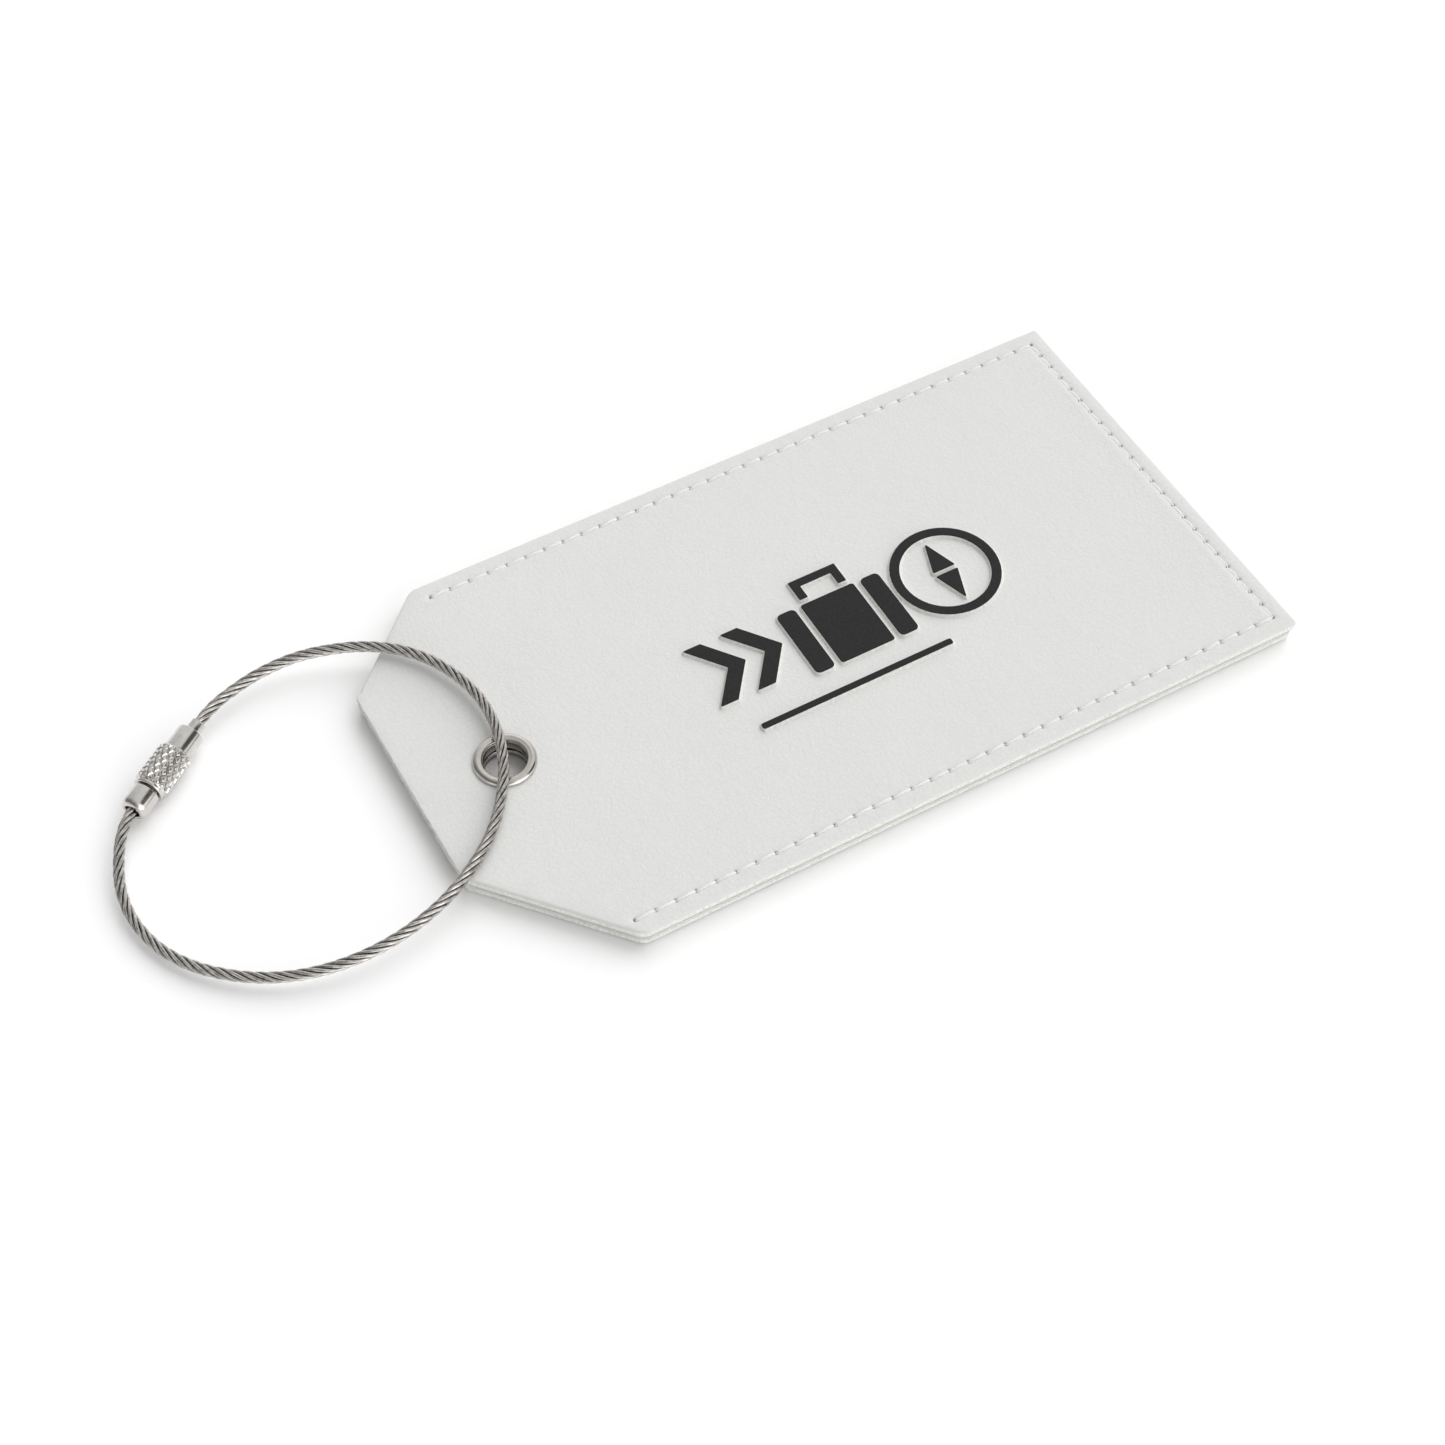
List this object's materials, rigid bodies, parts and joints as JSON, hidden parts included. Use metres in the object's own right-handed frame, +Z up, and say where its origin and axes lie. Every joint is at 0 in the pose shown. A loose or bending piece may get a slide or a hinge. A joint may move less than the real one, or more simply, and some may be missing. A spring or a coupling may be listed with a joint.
{
  "type": "luggage tag",
  "caption": "Sewn leather luggage tag with a chamfered pocket end, raised travel motif, metal eyelets, address card, and a wire rope loop closed by a knurled screw clasp.",
  "frame": {"origin": "under the middle of the leather tag, on the surface it lies on", "axes": "+X along the tag's length towards its sewn end, +Y across its width, +Z up out of the printed face"},
  "size_m": [0.1535, 0.0632, 0.0055],
  "materials": {
    "leather": "fine-grained light grey synthetic leather, matt",
    "lining": "warm grey bonded fibre lining, raw cut edge",
    "edge_tape": "thin tan double-sided edge tape",
    "window_film": "clear flexible film",
    "card": "white card with plain ruled lines",
    "nickel": "polished nickel plate",
    "thread": "off-white twisted polyester thread",
    "raised_print": "matt black top on a pale raised base",
    "rope_steel": "bare twisted stainless strands",
    "clasp_steel": "turned and knurled stainless steel"
  },
  "bodies": {
    "tag": {"front_leather": "leather", "front_lining": "lining", "seam_tape": "edge_tape", "rear_lining": "lining", "rear_leather": "leather", "window_film": "window_film", "front_eyelet": "nickel", "front_eyelet_washer": "nickel", "rear_eyelet": "nickel", "rear_eyelet_washer": "nickel", "seam_thread_front": "thread", "seam_thread_rear": "thread", "motif_arrow_left": "raised_print", "motif_arrow_right": "raised_print", "motif_case_left": "raised_print", "motif_case_middle": "raised_print", "motif_case_right": "raised_print", "motif_case_handle": "raised_print", "motif_compass_ring": "raised_print", "motif_needle_north": "raised_print", "motif_needle_south": "raised_print", "motif_underline": "raised_print"},
    "card": {"address_card": "card"},
    "loop": {"wire_rope": "rope_steel", "crimp_ferrule": "clasp_steel"},
    "nut": {"knurled_nut": "clasp_steel"},
    "stud": {"threaded_stud": "clasp_steel"}
  },
  "joints": [
    {"name": "card_slide", "type": "slide", "parent": "tag", "child": "card", "axis": [-1, 0, 0], "range_m": [0, 0.037]},
    {"name": "loop_lift", "type": "slide", "parent": "tag", "child": "loop", "axis": [0, 0, 1], "range_m": [0, 0.05]},
    {"name": "nut_turn", "type": "hinge", "parent": "loop", "child": "nut", "pos_m": [-0.0769, 0.0253, 0.00233], "axis": [0.8192, 0.5736, 0], "range_deg": [0, 2880]},
    {"name": "stud_unscrew", "type": "slide", "parent": "loop", "child": "stud", "axis": [-0.8192, -0.5736, 0], "range_m": [0, 0.004], "deforming": ["wire_rope"]}
  ],
  "couplings": [
    {"joint": "nut_turn", "follows": "stud_unscrew", "rad_per_m": 12566}
  ]
}
